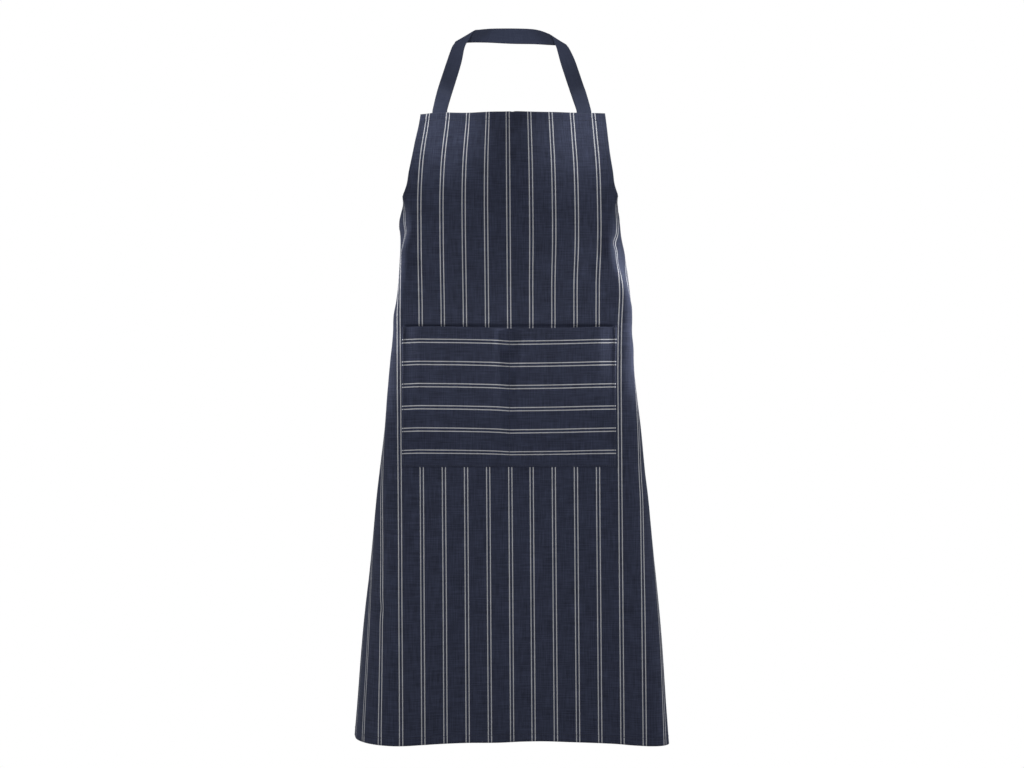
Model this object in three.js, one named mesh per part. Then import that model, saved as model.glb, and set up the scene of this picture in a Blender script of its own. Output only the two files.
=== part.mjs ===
// A bib apron as it hangs when worn: a neck strap, one panel cut as bib and skirt, a divided
// front pocket, and waist ties drawn round to a bow at the back.
// Millimetres, +Z up, front towards -Y. The origin is where the strap rests on the back of the neck.
import * as THREE from 'three';

const { clamp, smoothstep, degToRad } = THREE.MathUtils;

// Cloth, tape and thread
const CLOTH = 1.0;
const TURNED_CLOTH = 0.8;
const TAPE = 1.0;
const TAPE_WIDTH = 22;
const GATHERED_TAPE = 11;
const THREAD = 0.6;
const THREAD_WIDTH = 1.2;
const GAP = 0.5;
const THREAD_GAP = 0.4;

// The panel's cut, as half-widths and as drops below the bib's top edge
const LENGTH = 954;
const BIB_TOP_HALF = 141;
const CLOTH_HALF = 360;
const ARMHOLE_DROP = 265;
const ARMHOLE_LEAN = 0.11;
const ARMHOLE_POWER = 3.2;
const BIB_HEM = 14;
const SIDE_HEM = 6;
const BOTTOM_HEM = 12;

// How the panel hangs: the front's depth, the side folds and the flanks behind them
const BIB_TOP_Z = -141;
const BIB_TOP_Y = -151.6;
const BUST_DROP = 130;
const BUST_Y = -200;
const BELLY_DROP = 315;
const BELLY_Y = -178;
const LAP_DROP = 545;
const HEM_Y = -190;
const CHEST_CROWN = 12;
const CROWN_HALF = 150;
const FOLD_HALF_TOP = 150;
const FOLD_FLARE = 0.0905;
const FOLD_RADIUS_TOP = 6;
const FOLD_RADIUS = 24;
const WAIST_FOLD_ANGLE = degToRad(112);
const HEM_FOLD_ANGLE = degToRad(100);

// The pocket
const POCKET_X = -4;
const POCKET_HALF = 161;
const POCKET_TOP_DROP = 326.5;
const POCKET_BOTTOM_DROP = 539.5;
const POCKET_HEM = 22;
const POCKET_RIM = 5;
const POCKET_RISE = 12;
const POCKET_SEAT = CLOTH + GAP + TURNED_CLOTH + GAP;
const POCKET_FULLNESS = 6.2;
const BARTACK_LENGTH = 9;

// The neck strap: half of its route, from above the bib to the back of the neck
const STRAP_X = 109.5;
const STRAP_START = 7;
const STRAP_SEWN = 12;
const STRAP_ROUTE = [[102, -116, -98], [94, -82, -60], [86, -50, -28], [75, -24, -10], [46, -6, -2]];

// The waist ties and the bow
const TIE_DROP = 282;
const TIE_SEWN = 28;
const TIE_BACK_Y = 8;
const TIE_CLEARANCE = 1.6;
const TACK_BOX = [18, 15];
const TACK_FROM_EDGE = 17;
const KNOT_HALF = [15, 11, 13];
const BOW_DROOP = degToRad(27);
const LOOP_ROUTE = [[16, 1.5], [40, 6], [75, 7], [98, 3.5], [103, 0]];
const TAIL_ROUTE = [[7, 16.5], [13, 48], [17, 120], [22, 250], [25, 400]];

const UP = new THREE.Vector3(0, 0, 1);
const KNOT = new THREE.Vector3(0, TIE_BACK_Y + TAPE / 2 + GAP + KNOT_HALF[1], BIB_TOP_Z - TIE_DROP);

const cotton = new THREE.MeshStandardMaterial({ color: 0x303648, roughness: 0.92, metalness: 0 });
const hemCotton = new THREE.MeshStandardMaterial({ color: 0x363d52, roughness: 0.92, metalness: 0 });
const tapeCotton = new THREE.MeshStandardMaterial({ color: 0x3a4158, roughness: 0.9, metalness: 0 });
const sewingThread = new THREE.MeshStandardMaterial({ color: 0x23283a, roughness: 0.8, metalness: 0 });

// Half-width of the flat cloth at a drop: the armhole sweeps out to the waist, then the side is straight
function clothHalf(drop) {
  const t = clamp(drop / ARMHOLE_DROP, 0, 1);
  const straight = BIB_TOP_HALF + ARMHOLE_LEAN * ARMHOLE_DROP * t;
  const sweep = CLOTH_HALF - BIB_TOP_HALF - ARMHOLE_LEAN * ARMHOLE_DROP;
  return straight + sweep * t ** ARMHOLE_POWER;
}

// Width of the edge hem, measured sideways, so that it stays SIDE_HEM wide across a sloping edge
function edgeHem(drop) {
  if (drop > ARMHOLE_DROP) return SIDE_HEM;
  const slope = (clothHalf(drop) - clothHalf(drop - 1));
  return SIDE_HEM * Math.hypot(1, drop < 1 ? ARMHOLE_LEAN : slope);
}

// Depth of the front: back at the bib's top, forward over the chest, upright behind the pocket
function frontY(drop) {
  if (drop < BUST_DROP) {
    return BIB_TOP_Y + (BUST_Y - BIB_TOP_Y) * Math.sin((Math.PI / 2) * (drop / BUST_DROP));
  }
  const belly = BUST_Y + (BELLY_Y - BUST_Y) * smoothstep(drop, BUST_DROP, BELLY_DROP);
  const t = clamp((drop - LAP_DROP) / (LENGTH - LAP_DROP), 0, 1);
  return belly + (HEM_Y - BELLY_Y) * (1 - Math.cos((Math.PI / 2) * t));
}

// The place of a point of the flat cloth, a distance across and a drop down: flat in front, then round
// a fold at the side, then straight back along the flank
function hang(across, drop) {
  const arc = Math.abs(across);
  const opened = smoothstep(drop, 0, ARMHOLE_DROP);
  const radius = FOLD_RADIUS_TOP + (FOLD_RADIUS - FOLD_RADIUS_TOP) * opened;
  const flat = FOLD_HALF_TOP + FOLD_FLARE * drop - radius;
  const lower = clamp((drop - ARMHOLE_DROP) / (LENGTH - ARMHOLE_DROP), 0, 1);
  const angle = WAIST_FOLD_ANGLE + (HEM_FOLD_ANGLE - WAIST_FOLD_ANGLE) * lower;
  const turned = clamp((arc - flat) / radius, 0, angle);
  const flank = Math.max(arc - flat - radius * angle, 0);
  const x = Math.min(arc, flat) + radius * Math.sin(turned) + flank * Math.cos(angle);
  const back = radius * (1 - Math.cos(turned)) + flank * Math.sin(angle);
  const crown = CHEST_CROWN * (1 - smoothstep(drop, BUST_DROP, BELLY_DROP)) * (x / CROWN_HALF) ** 2;
  return new THREE.Vector3(Math.sign(across) * x, frontY(drop) + back + crown, BIB_TOP_Z - drop);
}

// A point of the hanging cloth with its outward normal and the direction up the cloth
function clothFrame(across, drop) {
  const step = 0.5;
  const point = hang(across, drop);
  const right = hang(across + step, drop).sub(hang(across - step, drop));
  const up = hang(across, drop - step).sub(hang(across, drop + step)).normalize();
  const normal = right.cross(up).normalize();
  return { point, normal, up };
}

// Distances across for one row of the cloth's grid, from the centre out to the edge
function rowAcross(drop) {
  const flat = FOLD_HALF_TOP + FOLD_FLARE * drop - FOLD_RADIUS;
  const flankStart = flat + FOLD_RADIUS * WAIST_FOLD_ANGLE;
  const bounds = [[0, flat, 5], [flat, flankStart, 4], [flankStart, CLOTH_HALF - SIDE_HEM, 6]];
  const lines = bounds.flatMap(([from, to, count]) =>
    Array.from({ length: count }, (_, i) => from + ((to - from) * i) / count));
  lines.push(CLOTH_HALF - SIDE_HEM);
  const edge = clothHalf(drop);
  const scale = (edge - edgeHem(drop)) / (CLOTH_HALF - SIDE_HEM);
  return [...lines.map((line) => line * scale), edge];
}

const ARMHOLE_ROWS = [40, 70, 98, 122, 144, 164, 182, 199, 215, 229, 242, 254];
const ROWS = [0, BIB_HEM, ...ARMHOLE_ROWS, ARMHOLE_DROP, 279, 300, POCKET_TOP_DROP, 400, 470,
  LAP_DROP, 640, 740, 840, LENGTH - BOTTOM_HEM, LENGTH];
const WAIST_ROW = ROWS.indexOf(ARMHOLE_DROP);
const LAST_ROW = ROWS.length - 1;
const HALF_COLUMNS = rowAcross(0).length - 1;

// The grid of cloth frames: GRID[row][column], from the left edge to the right edge
const GRID = ROWS.map((drop) => {
  const right = rowAcross(drop);
  const left = right.slice(1).reverse().map((across) => -across);
  return [...left, ...right].map((across) => clothFrame(across, drop));
});
const LAST_COLUMN = 2 * HALF_COLUMNS;

// Cuts each cell of the box's front and back along the same diagonal, which falls away from the middle
function matchDiagonals(box, acrossCells, alongCells, leftCells) {
  const index = box.getIndex();
  for (const [face, first] of [[4, 'left'], [5, 'right']]) {
    const { start } = box.groups[face];
    for (let cell = 0; cell < acrossCells * alongCells; cell += 1) {
      const fromFaceStart = cell % acrossCells;
      const column = face === 4 ? fromFaceStart : acrossCells - 1 - fromFaceStart;
      const onLeft = column < leftCells;
      if (onLeft !== (first === 'left')) continue;
      const at = start + cell * 6;
      const [a, b, d, c] = [0, 1, 2, 4].map((k) => index.getX(at + k));
      [a, b, c, a, c, d].forEach((vertex, k) => index.setX(at + k, vertex));
    }
  }
}

// Bends a box of across x along x 1 cells by placing each of its corners
function bentBox(acrossCells, alongCells, place, leftCells = 0) {
  const box = new THREE.BoxGeometry(1, 1, 1, acrossCells, alongCells, 1);
  matchDiagonals(box, acrossCells, alongCells, leftCells);
  const position = box.getAttribute('position');
  for (let i = 0; i < position.count; i += 1) {
    const column = Math.round((position.getX(i) + 0.5) * acrossCells);
    const row = Math.round((0.5 - position.getY(i)) * alongCells);
    const point = place(column, row, Math.sign(position.getZ(i)));
    position.setXYZ(i, point.x, point.y, point.z);
  }
  box.computeVertexNormals();
  return box;
}

// A layer of cloth over a block of the grid, between two depths, drawn in a little at its edges
function clothLayer([firstColumn, lastColumn], [firstRow, lastRow], back, front, inset = 0) {
  const pull = (index, first, last) => (index === first ? 1 : 0) - (index === last ? 1 : 0);
  const leftCells = HALF_COLUMNS - firstColumn;
  return bentBox(lastColumn - firstColumn, lastRow - firstRow, (i, j, side) => {
    const column = firstColumn + i;
    const row = firstRow + j;
    const { point, normal } = GRID[row][column];
    const placed = point.clone();
    for (const [dc, dr] of [[pull(column, firstColumn, lastColumn), 0], [0, pull(row, firstRow, lastRow)]]) {
      const inward = GRID[row + dr][column + dc].point.clone().sub(point);
      if (inward.length() > 0) placed.addScaledVector(inward.normalize(), inset);
    }
    return placed.addScaledVector(normal, side > 0 ? front : back);
  }, leftCells);
}

// A flat band through a row of stations, each a point with a direction across and a width
function band(stations, thickness) {
  const last = stations.length - 1;
  return bentBox(1, last, (i, j, side) => {
    const { point, across, width } = stations[j];
    const before = stations[Math.max(j - 1, 0)].point;
    const after = stations[Math.min(j + 1, last)].point;
    const along = before.clone().sub(after).normalize();
    const flat = across.clone().addScaledVector(along, -across.dot(along)).normalize();
    const normal = flat.clone().cross(along);
    return point.clone().addScaledVector(flat, (i - 0.5) * width)
      .addScaledVector(normal, side * thickness / 2);
  });
}

// A row of stitching through cloth frames, lying on the front
function stitchRow(frames, depth) {
  const last = frames.length - 1;
  const stations = frames.map(({ point, normal }, j) => {
    const along = frames[Math.max(j - 1, 0)].point.clone().sub(frames[Math.min(j + 1, last)].point);
    return {
      point: point.clone().addScaledVector(normal, depth),
      across: along.cross(normal).normalize(),
      width: THREAD_WIDTH,
    };
  });
  return band(stations, THREAD);
}

// Evenly spaced stations along a smooth route, with the directions across it blended the same way
function stationsAlong(points, acrosses, count, widthAt) {
  const route = new THREE.CatmullRomCurve3(points, false, 'centripetal');
  const turns = new THREE.CatmullRomCurve3(acrosses);
  return Array.from({ length: count + 1 }, (_, i) => {
    const t = i / count;
    return { point: route.getPoint(t), across: turns.getPoint(t).normalize(), width: widthAt(t) };
  });
}

const mirrored = (vector) => new THREE.Vector3(-vector.x, vector.y, vector.z);
const fullWidth = () => TAPE_WIDTH;
const group = new THREE.Group();

function add(name, geometry, material, parent = group) {
  const mesh = new THREE.Mesh(geometry, material);
  mesh.name = name;
  parent.add(mesh);
  return mesh;
}

// Panel and its turned hems
const HEM_BACK = -(CLOTH / 2 + GAP + TURNED_CLOTH);
const HEM_FRONT = -(CLOTH / 2 + GAP);
const STITCH_DEPTH = CLOTH / 2 + THREAD_GAP + THREAD / 2;

function addPanel() {
  const all = [0, LAST_COLUMN];
  add('main_panel', clothLayer(all, [0, LAST_ROW], -CLOTH / 2, CLOTH / 2), cotton);
  add('bib_hem', clothLayer(all, [0, 1], HEM_BACK, HEM_FRONT, THREAD_GAP), hemCotton);
  add('bottom_hem', clothLayer(all, [LAST_ROW - 1, LAST_ROW], HEM_BACK, HEM_FRONT, THREAD_GAP), hemCotton);
  for (const [side, edge] of [['left', [0, 1]], ['right', [LAST_COLUMN - 1, LAST_COLUMN]]]) {
    const armhole = clothLayer(edge, [1, WAIST_ROW], HEM_BACK, HEM_FRONT, THREAD_GAP);
    const skirtSide = clothLayer(edge, [WAIST_ROW, LAST_ROW - 1], HEM_BACK, HEM_FRONT, THREAD_GAP);
    add(`armhole_hem_${side}`, armhole, hemCotton);
    add(`side_hem_${side}`, skirtSide, hemCotton);
  }
}

function addPanelStitching() {
  const inner = (row) => GRID[row].slice(1, -1);
  add('bib_hem_stitching', stitchRow(inner(1), STITCH_DEPTH), sewingThread);
  add('bottom_hem_stitching', stitchRow(inner(LAST_ROW - 1), STITCH_DEPTH), sewingThread);
  for (const [side, column] of [['left', 1], ['right', LAST_COLUMN - 1]]) {
    const armholeRows = GRID.slice(2, WAIST_ROW + 1).map((row) => row[column]);
    const sideRows = GRID.slice(WAIST_ROW + 1, LAST_ROW - 1).map((row) => row[column]);
    add(`armhole_stitching_${side}`, stitchRow(armholeRows, STITCH_DEPTH), sewingThread);
    add(`side_hem_stitching_${side}`, stitchRow(sideRows, STITCH_DEPTH), sewingThread);
  }
}

// Pocket: a flat rim sewn round three sides and down the middle, standing full between the seams
function addPocket() {
  const slope = POCKET_RIM + POCKET_RISE;
  const half = [0, 3, 3 + POCKET_RISE, 82, POCKET_HALF - slope, POCKET_HALF - POCKET_RIM, POCKET_HALF];
  const lines = [...half.slice(1).reverse().map((x) => -x), ...half];
  const drops = [POCKET_TOP_DROP, POCKET_TOP_DROP + POCKET_HEM, 430,
    POCKET_BOTTOM_DROP - slope, POCKET_BOTTOM_DROP - POCKET_RIM, POCKET_BOTTOM_DROP];
  const isSeam = (i, j) => {
    const fromMiddle = Math.abs(lines[i]);
    const besideSeam = fromMiddle <= 3 || fromMiddle >= POCKET_HALF - POCKET_RIM;
    return besideSeam || drops[j] >= POCKET_BOTTOM_DROP - POCKET_RIM;
  };
  const place = (i, j, depth) => {
    const out = POCKET_SEAT + (isSeam(i, j) ? 0 : POCKET_FULLNESS) + depth;
    return new THREE.Vector3(POCKET_X + lines[i], BELLY_Y - out, BIB_TOP_Z - drops[j]);
  };
  const pocket = bentBox(lines.length - 1, drops.length - 1, (i, j, side) =>
    place(i, j, side * CLOTH / 2));
  add('pocket_panel', pocket, cotton);

  const hemCells = lines.length - 3;
  const hem = bentBox(hemCells, 1, (i, j, side) => {
    const point = place(i + 1, j, side > 0 ? HEM_FRONT : HEM_BACK);
    point.x += i === 0 ? THREAD_GAP : 0;
    point.x -= i === hemCells ? THREAD_GAP : 0;
    return point;
  });
  add('pocket_hem', hem, hemCotton);

  const front = new THREE.Vector3(0, -1, 0);
  const hemLine = lines.slice(1, -1).map((_, i) => ({ point: place(i + 1, 1, 0), normal: front }));
  add('pocket_hem_stitching', stitchRow(hemLine, STITCH_DEPTH), sewingThread);
}

// Pocket seam threads lie over the pocket hem's own row
function addPocketSeams() {
  const y = BELLY_Y - POCKET_SEAT - CLOTH / 2 - 2 * THREAD_GAP - THREAD;
  const top = BIB_TOP_Z - POCKET_TOP_DROP - 1;
  const bottom = BIB_TOP_Z - POCKET_BOTTOM_DROP + POCKET_RIM / 2;
  const x = POCKET_HALF - POCKET_RIM / 2;
  const w = THREAD_WIDTH / 2;
  const corners = [[-x - w, top], [-x - w, bottom - w], [x + w, bottom - w], [x + w, top],
    [x - w, top], [x - w, bottom + w], [-x + w, bottom + w], [-x + w, top]];
  const outline = new THREE.Shape(corners.map(([px, pz]) => new THREE.Vector2(px, pz)));
  const edge = new THREE.ExtrudeGeometry(outline, { depth: THREAD, bevelEnabled: false });
  const edgeMesh = add('pocket_edge_stitching', edge, sewingThread);
  edgeMesh.rotation.x = Math.PI / 2;
  edgeMesh.position.set(POCKET_X, y, 0);

  const dividerLength = top - bottom - 3;
  const divider = new THREE.BoxGeometry(THREAD_WIDTH, THREAD, dividerLength);
  add('pocket_divider_stitching', divider, sewingThread)
    .position.set(POCKET_X, y - THREAD / 2, top - dividerLength / 2);

  for (const [side, sign] of [['left', -1], ['right', 1]]) {
    const bartack = new THREE.BoxGeometry(2, THREAD, BARTACK_LENGTH);
    add(`pocket_bartack_${side}`, bartack, sewingThread)
      .position.set(POCKET_X + sign * x, y - 1.5 * THREAD - THREAD_GAP, top - BARTACK_LENGTH / 2);
  }
}

// Neck strap: legs up from behind the bib, turning on edge to pass round the back of the neck
const STRAP_DEPTH = -(CLOTH / 2 + GAP + TURNED_CLOTH + GAP + TAPE / 2);

function addNeckStrap() {
  const { point, normal, up } = clothFrame(STRAP_X, 0.5);
  const root = point.clone().addScaledVector(normal, STRAP_DEPTH);
  const start = root.clone().addScaledVector(up, STRAP_START);
  const rightHalf = [start, ...STRAP_ROUTE.map((place) => new THREE.Vector3(...place))];
  const nape = new THREE.Vector3(0, TAPE / 2, 0);
  const points = [...rightHalf.map(mirrored), nape, ...rightHalf.toReversed()];
  const flat = normal.clone().cross(up);
  const turned = [12, 45, 75, 90].map(degToRad)
    .map((turn) => new THREE.Vector3(-Math.cos(turn), 0, Math.sin(turn)));
  const acrossRight = [flat, flat, ...turned];
  const across = [...acrossRight.map(mirrored), UP, ...acrossRight.toReversed()];
  add('neck_strap', band(stationsAlong(points, across, 33, fullWidth), TAPE), tapeCotton);

  for (const [side, sign] of [['left', -1], ['right', 1]]) {
    const ends = [0.5, STRAP_SEWN].map((drop) => clothFrame(sign * STRAP_X, drop));
    const sewn = ends.map((frame) => ({
      point: frame.point.clone().addScaledVector(frame.normal, STRAP_DEPTH),
      across: frame.up.clone().cross(frame.normal),
      width: TAPE_WIDTH,
    }));
    add(`strap_end_${side}`, band(sewn, TAPE), tapeCotton);
  }
}

// Waist ties: sewn inside the panel's side corners and drawn round to the middle of the back
function addWaistTies() {
  const depth = STRAP_DEPTH - TIE_CLEARANCE;
  for (const [side, sign] of [['left', -1], ['right', 1]]) {
    const sewn = [TIE_SEWN, TIE_SEWN / 2, 0].map((from) => clothFrame(sign * (CLOTH_HALF - from), TIE_DROP));
    const points = sewn.map((frame) => frame.point.clone().addScaledVector(frame.normal, depth));
    const free = [[80, TIE_BACK_Y - 3], [40, TIE_BACK_Y], [1.5, TIE_BACK_Y]];
    points.push(...free.map(([x, y]) => new THREE.Vector3(sign * x, y, KNOT.z)));
    const across = [...sewn.map((frame) => frame.up), ...free.map(() => UP)];
    add(`waist_tie_${side}`, band(stationsAlong(points, across, 15, fullWidth), TAPE), tapeCotton);

    const middle = clothFrame(sign * (CLOTH_HALF - TACK_FROM_EDGE), TIE_DROP);
    const [w, h] = TACK_BOX.map((size) => size / 2);
    const outer = new THREE.Shape([[-w, -h], [w, -h], [w, h], [-w, h]].map((c) => new THREE.Vector2(...c)));
    const inner = [[-w, -h], [-w, h], [w, h], [w, -h]]
      .map(([x, y]) => new THREE.Vector2(x - Math.sign(x) * THREAD_WIDTH, y - Math.sign(y) * THREAD_WIDTH));
    outer.holes.push(new THREE.Path(inner));
    const box = new THREE.ExtrudeGeometry(outer, { depth: THREAD, bevelEnabled: false });
    const tack = add(`waist_tie_stitching_${side}`, box, sewingThread);
    const right = middle.up.clone().cross(middle.normal);
    tack.quaternion.setFromRotationMatrix(new THREE.Matrix4().makeBasis(right, middle.up, middle.normal));
    tack.position.copy(middle.point).addScaledVector(middle.normal, CLOTH / 2 + THREAD_GAP);
  }
}

// Bow: a knot on the ties, two drooping loops and two tails, all in one upright plane
function addBow() {
  const knot = new THREE.SphereGeometry(1, 16, 10);
  knot.rotateX(Math.PI / 2);
  knot.scale(...KNOT_HALF);
  add('bow_knot', knot, tapeCotton).position.copy(KNOT);

  const gathered = (t, opening) => {
    const filled = smoothstep(t, 0, opening);
    return GATHERED_TAPE + (TAPE_WIDTH - GATHERED_TAPE) * filled;
  };
  for (const [side, sign] of [['left', -1], ['right', 1]]) {
    const out = new THREE.Vector3(sign * Math.cos(BOW_DROOP), 0, -Math.sin(BOW_DROOP));
    const across = new THREE.Vector3(sign * Math.sin(BOW_DROOP), 0, Math.cos(BOW_DROOP));
    const going = LOOP_ROUTE.map(([reach, y]) => out.clone().multiplyScalar(reach).setY(y).add(KNOT));
    const coming = LOOP_ROUTE.slice(0, -1).reverse()
      .map(([reach, y]) => out.clone().multiplyScalar(reach).setY(-y).add(KNOT));
    const loopPoints = [...going, ...coming];
    const loopWidth = (t) => gathered(Math.min(t, 1 - t), 0.25);
    const loop = stationsAlong(loopPoints, loopPoints.map(() => across), 20, loopWidth);
    add(`bow_loop_${side}`, band(loop, TAPE), tapeCotton);

    const tailPoints = TAIL_ROUTE.map(([x, down]) => new THREE.Vector3(sign * x, KNOT.y, KNOT.z - down));
    const sideways = tailPoints.map(() => new THREE.Vector3(1, 0, 0));
    const tail = stationsAlong(tailPoints, sideways, 12, (t) => gathered(t, 0.2));
    add(`tie_tail_${side}`, band(tail, TAPE), tapeCotton);
  }
}

addPanel();
addPanelStitching();
addPocket();
addPocketSeams();
addNeckStrap();
addWaistTies();
addBow();

export default group;
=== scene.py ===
"""A bib apron of navy pinstriped cotton, hanging in the shape it takes when worn.

The panel is one cut of cloth laid over a formula for how it hangs. Hems, pocket, stitching and tie
ends are placed on the same formula, so every layer follows the layer under it. The neck strap, the
waist ties and the bow are tapes carried along smooth routes.
"""
import logging
import math
from dataclasses import dataclass, field
from enum import Enum
from typing import Any, Sequence

import bpy
import numpy as np
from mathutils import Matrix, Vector


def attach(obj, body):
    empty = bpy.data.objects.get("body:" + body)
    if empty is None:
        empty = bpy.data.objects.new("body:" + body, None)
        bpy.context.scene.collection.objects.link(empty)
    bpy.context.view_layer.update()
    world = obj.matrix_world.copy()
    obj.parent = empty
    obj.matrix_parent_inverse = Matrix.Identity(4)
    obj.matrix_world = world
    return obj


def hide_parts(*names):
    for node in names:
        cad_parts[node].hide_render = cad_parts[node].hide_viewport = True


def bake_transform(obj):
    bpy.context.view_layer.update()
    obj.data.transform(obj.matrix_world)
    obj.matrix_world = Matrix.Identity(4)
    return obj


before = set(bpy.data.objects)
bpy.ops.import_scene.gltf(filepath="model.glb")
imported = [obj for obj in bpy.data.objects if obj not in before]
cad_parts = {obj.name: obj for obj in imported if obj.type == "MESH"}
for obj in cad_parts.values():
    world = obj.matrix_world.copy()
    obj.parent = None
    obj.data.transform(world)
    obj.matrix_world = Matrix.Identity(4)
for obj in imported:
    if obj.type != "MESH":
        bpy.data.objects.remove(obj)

Array = np.ndarray
Knots = Sequence[tuple[float, float]]
LOG = logging.getLogger("apron")
MM = 0.001
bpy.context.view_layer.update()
# Where a cloth's middle line lies in its UV map, in metres, so that every place in it is positive
FLAT_MIDDLE = 0.5
NAVY = "#1f2333"
NAVY_LIGHT = "#434961"


# ---------------------------------------------------------------------------------------------
# Number helpers
# ---------------------------------------------------------------------------------------------

def smoothstep(value: Array, low: float, high: float) -> Array:
    """Rises from 0 at low to 1 at high along t * t * (3 - 2 t)."""
    t = np.clip((value - low) / (high - low), 0.0, 1.0)
    return t * t * (3.0 - 2.0 * t)


def bump(value: Array, centre: float, width: float) -> Array:
    """A bell of height 1 at centre, exp(-(distance / width) squared)."""
    return np.exp(-((value - centre) / width) ** 2)


def through(value: Array, knots: Knots) -> Array:
    """A smooth curve through a few chosen points.

    Args:
        value: where to read the curve.
        knots: pairs of place and height, in order.

    Returns:
        The heights, blended between knots by a cubic whose slope at each knot is the mean slope of
        its two sides, and held level beyond the ends.
    """
    x = np.array([k[0] for k in knots])
    y = np.array([k[1] for k in knots])
    slope = np.gradient(y, x)
    v = np.clip(value, x[0], x[-1])
    i = np.clip(np.searchsorted(x, v) - 1, 0, len(x) - 2)
    h = x[i + 1] - x[i]
    t = (v - x[i]) / h
    rise = y[i] + t * t * (3.0 - 2.0 * t) * (y[i + 1] - y[i])
    start = t * (1.0 - t) ** 2 * h * slope[i]
    end = t * t * (t - 1.0) * h * slope[i + 1]
    return rise + start + end


def unit(vectors: Array) -> Array:
    """Vectors divided by their lengths."""
    return vectors / np.maximum(np.linalg.norm(vectors, axis=-1, keepdims=True), 1e-12)


def linear(hex_colour: str) -> tuple[float, float, float, float]:
    """An sRGB hex colour as linear red, green, blue and alpha."""
    parts = [int(hex_colour[i:i + 2], 16) / 255.0 for i in (1, 3, 5)]
    return tuple(c / 12.92 if c <= 0.04045 else ((c + 0.055) / 1.055) ** 2.4 for c in parts) + (1.0,)


# ---------------------------------------------------------------------------------------------
# Meshes from grids and from profiles carried along routes
# ---------------------------------------------------------------------------------------------

def new_piece(name: str, points: Array, faces: list[list[int]], flat: Array | None = None) -> bpy.types.Object:
    """Makes a smooth-shaded piece whose place is in its mesh.

    Args:
        name: the piece's name.
        points: its corners in the shared frame, in metres.
        faces: corner numbers of each face, anticlockwise from outside.
        flat: each corner's place in the flat cloth, in metres, for the UV map.

    Returns:
        The new object, at the origin, in the scene.
    """
    mesh = bpy.data.meshes.new(name)
    mesh.from_pydata(points.tolist(), [], faces)
    mesh.polygons.foreach_set("use_smooth", np.ones(len(mesh.polygons), bool))
    if flat is not None:
        corners = np.empty(len(mesh.loops), np.int32)
        mesh.loops.foreach_get("vertex_index", corners)
        layer = mesh.uv_layers.new(name="cloth")
        layer.data.foreach_set("uv", flat[corners].astype(np.float32).ravel())
    mesh.validate()
    piece = bpy.data.objects.new(name, mesh)
    bpy.context.scene.collection.objects.link(piece)
    return piece


def grid_faces(rows: int, columns: int, first: int = 0) -> Array:
    """Quads over a grid of rows x columns corners, numbered row by row from first."""
    r, c = np.meshgrid(np.arange(rows - 1), np.arange(columns - 1), indexing="ij")
    a = first + r * columns + c
    return np.stack([a, a + columns, a + columns + 1, a + 1], axis=-1).reshape(-1, 4)


def sheet_piece(name: str, front: Array, back: Array, flat: Array) -> bpy.types.Object:
    """Makes a closed cloth sheet from its front and back grids.

    Args:
        name: the piece's name.
        front: grid of corners on the outer face, rows running down and columns to the right.
        back: the same grid on the inner face.
        flat: the grid's places in the flat cloth.

    Returns:
        The sheet, closed round its rim by a strip between the two grids.
    """
    rows, columns = front.shape[:2]
    count = rows * columns
    number = np.arange(count).reshape(rows, columns)
    rim = np.concatenate([number[0, :-1], number[:-1, -1], number[-1, :0:-1], number[:0:-1, 0]])
    after = np.roll(rim, -1)
    walls = np.stack([rim, after, after + count, rim + count], axis=-1)
    faces = np.concatenate([grid_faces(rows, columns), grid_faces(rows, columns, count)[:, ::-1], walls])
    points = np.concatenate([front.reshape(-1, 3), back.reshape(-1, 3)])
    places = np.tile(flat.reshape(-1, 2), (2, 1))
    return new_piece(name, points, faces.tolist(), places)


@dataclass(frozen=True)
class Route:
    """Stations along a tape: its middle, the direction across its width and its outward normal."""

    points: Array
    across: Array
    normal: Array

    def lengths(self) -> Array:
        """Distance along the route to each station."""
        steps = np.linalg.norm(np.diff(self.points, axis=0), axis=1)
        return np.concatenate([[0.0], np.cumsum(steps)])


def squared_route(points: Array, across: Array) -> Route:
    """Completes a route whose across directions are rough.

    Args:
        points: the stations.
        across: rough directions across the tape.

    Returns:
        The route with across made square to the way it runs, and normal equal to across x along.
    """
    along = unit(np.gradient(points, axis=0))
    flat = unit(across - along * np.sum(across * along, axis=1, keepdims=True))
    return Route(points, flat, np.cross(flat, along))


def smooth_samples(chosen: Array, stations: int) -> Array:
    """Runs a smooth line through a few chosen rows of numbers.

    Args:
        chosen: the rows, with a place in the first three columns.
        stations: how many evenly spaced rows to make.

    Returns:
        A Catmull-Rom line, each stretch blending the two cubics through its neighbours, resampled so that
        its places are the same distance apart.
    """
    data = np.vstack([2 * chosen[0] - chosen[1], chosen, 2 * chosen[-1] - chosen[-2]])
    steps = 40
    t = np.linspace(0.0, 1.0, steps, endpoint=False)[:, None]
    stretches = []
    for k in range(1, len(data) - 2):
        p0, p1, p2, p3 = data[k - 1:k + 3]
        stretches.append(0.5 * (2 * p1 + (p2 - p0) * t + (2 * p0 - 5 * p1 + 4 * p2 - p3) * t ** 2
                                + (3 * p1 - p0 - 3 * p2 + p3) * t ** 3))
    fine = np.vstack([*stretches, data[-2:-1]])
    travelled = np.concatenate([[0.0], np.cumsum(np.linalg.norm(np.diff(fine[:, :3], axis=0), axis=1))])
    even = np.linspace(0.0, travelled[-1], stations)
    return np.stack([np.interp(even, travelled, column) for column in fine.T], axis=1)


def smooth_route(points: Sequence[Sequence[float]], across: Sequence[Sequence[float]], stations: int) -> Route:
    """A smooth route through chosen points, with the direction across the tape given at each of them."""
    sampled = smooth_samples(np.hstack([np.asarray(points, float), np.asarray(across, float)]), stations)
    return squared_route(sampled[:, :3], unit(sampled[:, 3:]))


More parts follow.
